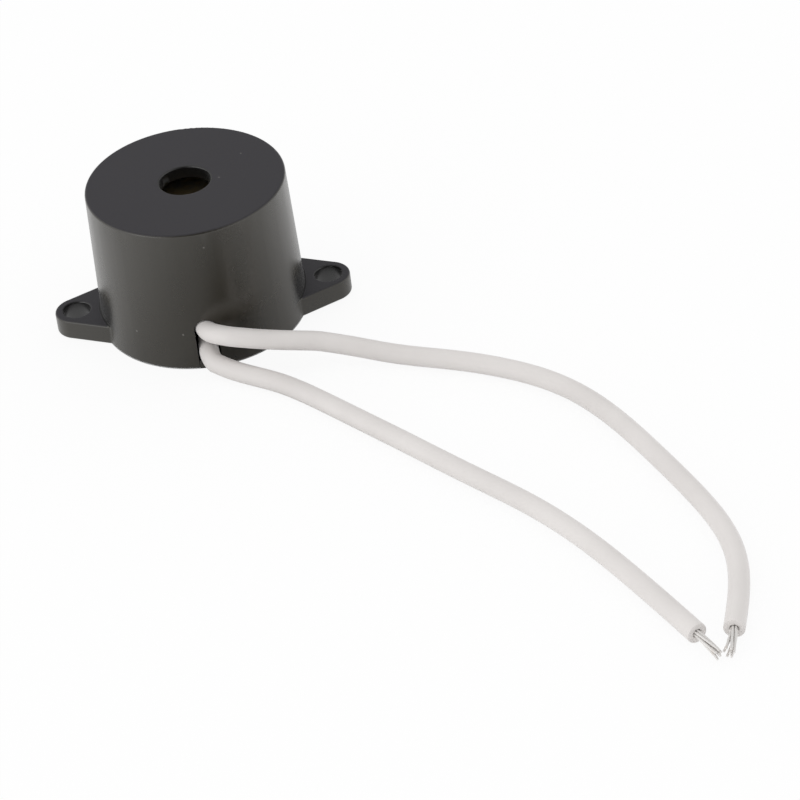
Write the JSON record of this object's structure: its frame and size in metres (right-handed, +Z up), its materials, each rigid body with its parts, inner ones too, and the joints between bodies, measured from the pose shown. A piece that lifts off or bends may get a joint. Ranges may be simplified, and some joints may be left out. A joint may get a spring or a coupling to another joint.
{
  "type": "piezo buzzer",
  "caption": "Round black piezo buzzer with a central sound hole, screw ears flush with its base and white stranded leads that leave through a slot in the wall.",
  "frame": {"origin": "centre of the housing's base, on the mounting plane", "axes": "+Z up through the sound hole, +X along the two ears, the leads leave towards -Y"},
  "size_m": [0.071, 0.0892, 0.0181],
  "materials": {
    "housing_plastic": "satin black moulding",
    "cover_plastic": "satin black moulding",
    "brass": "rolled sheet",
    "silvered_ceramic": "fired silver",
    "silicone": "cured bead",
    "board_laminate": "paper laminate",
    "package_plastic": "moulded epoxy",
    "chip_ceramic": "glazed chip",
    "red_insulation": "extruded",
    "blue_insulation": "extruded",
    "black_insulation": "extruded",
    "solder": "bright solder",
    "white_insulation": "extruded, satin",
    "tinned_copper": "tinned strands"
  },
  "bodies": {
    "root": {"housing": "housing_plastic", "back_cover": "cover_plastic", "diaphragm": "brass", "piezo_ceramic": "silvered_ceramic", "diaphragm_seal": "silicone", "circuit_board": "board_laminate", "transistor": "package_plastic", "bias_resistor": "chip_ceramic", "load_resistor": "chip_ceramic", "feedback_resistor": "chip_ceramic", "diode": "package_plastic", "ceramic_wire": "red_insulation", "feedback_wire": "blue_insulation", "brass_wire": "black_insulation", "board_solder": "solder", "piezo_solder": "solder", "upper_lead": "white_insulation", "lower_lead": "white_insulation", "upper_lead_tail": "tinned_copper", "lower_lead_tail": "tinned_copper", "upper_bare_end": "tinned_copper", "lower_bare_end": "tinned_copper"}
  },
  "joints": []
}
